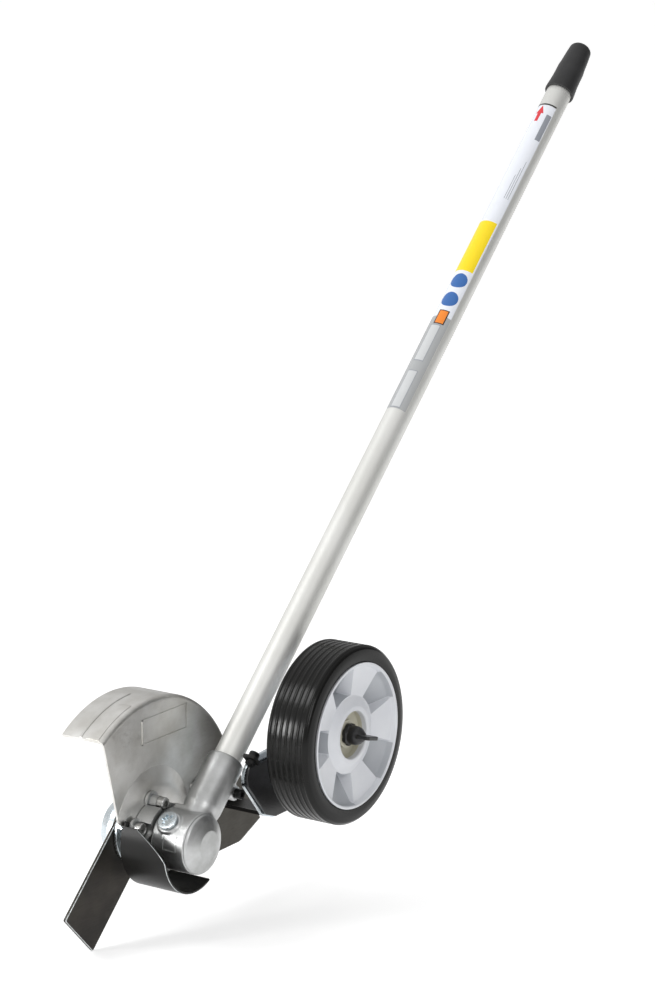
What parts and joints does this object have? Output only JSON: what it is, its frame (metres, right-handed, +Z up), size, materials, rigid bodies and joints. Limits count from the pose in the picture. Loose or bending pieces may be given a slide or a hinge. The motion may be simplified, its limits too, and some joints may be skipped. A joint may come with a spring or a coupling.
{
  "type": "lawn edger attachment",
  "caption": "Lawn edger head on a long tube: steel blade under an open alloy guard, right-angle gear case and a height-adjustable side wheel.",
  "frame": {"origin": "on the tube axis at the tube's coupling end, where the power head's coupling takes hold", "axes": "+X from the blade to the wheel (the tool's right side), -Y forwards and away from the user's hands, +Z up; the tube rises 43.2 degrees towards +Y"},
  "size_m": [0.175, 0.7465, 0.7039],
  "materials": {
    "boom": "satin clear anodised",
    "casting": "bead-blasted casting",
    "guard": "satin pressed sheet",
    "black_metal": "black powder coat",
    "blade": "dark tempered steel",
    "zinc": "bright zinc plate",
    "steel": "ground",
    "black_screw": "black oxide",
    "rubber": "matt moulded",
    "tyre": "ribbed, slightly glossy",
    "wheel": "pale grey moulded",
    "knob": "black moulded nylon",
    "bronze": "sintered bronze"
  },
  "bodies": {
    "boom_and_head": {"bracket_nut_1": "zinc", "bracket_nut_2": "zinc", "bracket_screw_1": "black_screw", "bracket_screw_2": "black_screw", "bracket_top_bolt": "black_screw", "bracket_top_nut": "black_screw", "case_end_cap": "casting", "end_bearing_outer": "steel", "filler_plug": "zinc", "gear_case": "casting", "gear_head_skirt": "black_metal", "glide_pad": "knob", "guard": "guard", "guard_collar": "casting", "guard_nut_lower": "zinc", "guard_nut_rear": "zinc", "guard_nut_upper": "zinc", "guard_screw_lower": "zinc", "guard_screw_rear": "zinc", "guard_screw_sleeve": "zinc", "guard_screw_upper": "zinc", "locating_screw": "steel", "nose_bearing_outer": "steel", "oil_seal": "rubber", "pinion_bearing_1_outer": "steel", "pinion_bearing_2_outer": "steel", "retaining_ring": "steel", "shaft_bushing_1": "bronze", "shaft_bushing_2": "bronze", "shaft_bushing_3": "bronze", "shaft_bushing_4": "bronze", "tube": "boom", "tube_clamp_bolt": "black_screw", "wheel_bracket": "zinc"},
    "drive_line": {"drive_shaft": "steel", "input_pinion": "steel", "pinion_bearing_1_inner": "steel", "pinion_bearing_2_inner": "steel"},
    "blade_stack": {"output_shaft": "steel", "output_gear": "steel", "nose_bearing_inner": "steel", "end_bearing_inner": "steel", "inner_flange": "zinc", "blade": "blade", "outer_cup": "zinc", "blade_nut": "zinc"},
    "depth_carriage": {"axle_bolt": "zinc", "wheel_spacer": "steel", "hub_washer": "zinc"},
    "wheel": {"wheel_disc": "wheel", "tyre": "tyre", "wheel_bush": "bronze"},
    "knob": {"wing_knob": "knob"},
    "coupling_cap": {"tube_end_cap": "rubber"}
  },
  "joints": [
    {"name": "blade_spin", "type": "hinge", "parent": "boom_and_head", "child": "blade_stack", "pos_m": [0, -0.62837, -0.59008], "axis": [1, 0, 0], "continuous": true},
    {"name": "input_spin", "type": "hinge", "parent": "boom_and_head", "child": "drive_line", "pos_m": [0, -0.62837, -0.59008], "axis": [0, 0.729, 0.6845], "continuous": true},
    {"name": "depth_slide", "type": "slide", "parent": "boom_and_head", "child": "depth_carriage", "axis": [0, 0, -1], "range_m": [0, 0.055]},
    {"name": "wheel_spin", "type": "hinge", "parent": "depth_carriage", "child": "wheel", "pos_m": [0, -0.49437, -0.52208], "axis": [1, 0, 0], "continuous": true},
    {"name": "knob_turn", "type": "hinge", "parent": "depth_carriage", "child": "knob", "pos_m": [0, -0.49437, -0.52208], "axis": [1, 0, 0], "range_deg": [0, 360]},
    {"name": "cap_pull", "type": "slide", "parent": "boom_and_head", "child": "coupling_cap", "axis": [0, 0.729, 0.6845], "range_m": [0, 0.06]}
  ],
  "couplings": [
    {"joint": "input_spin", "follows": "blade_spin", "ratio": 1.5}
  ]
}
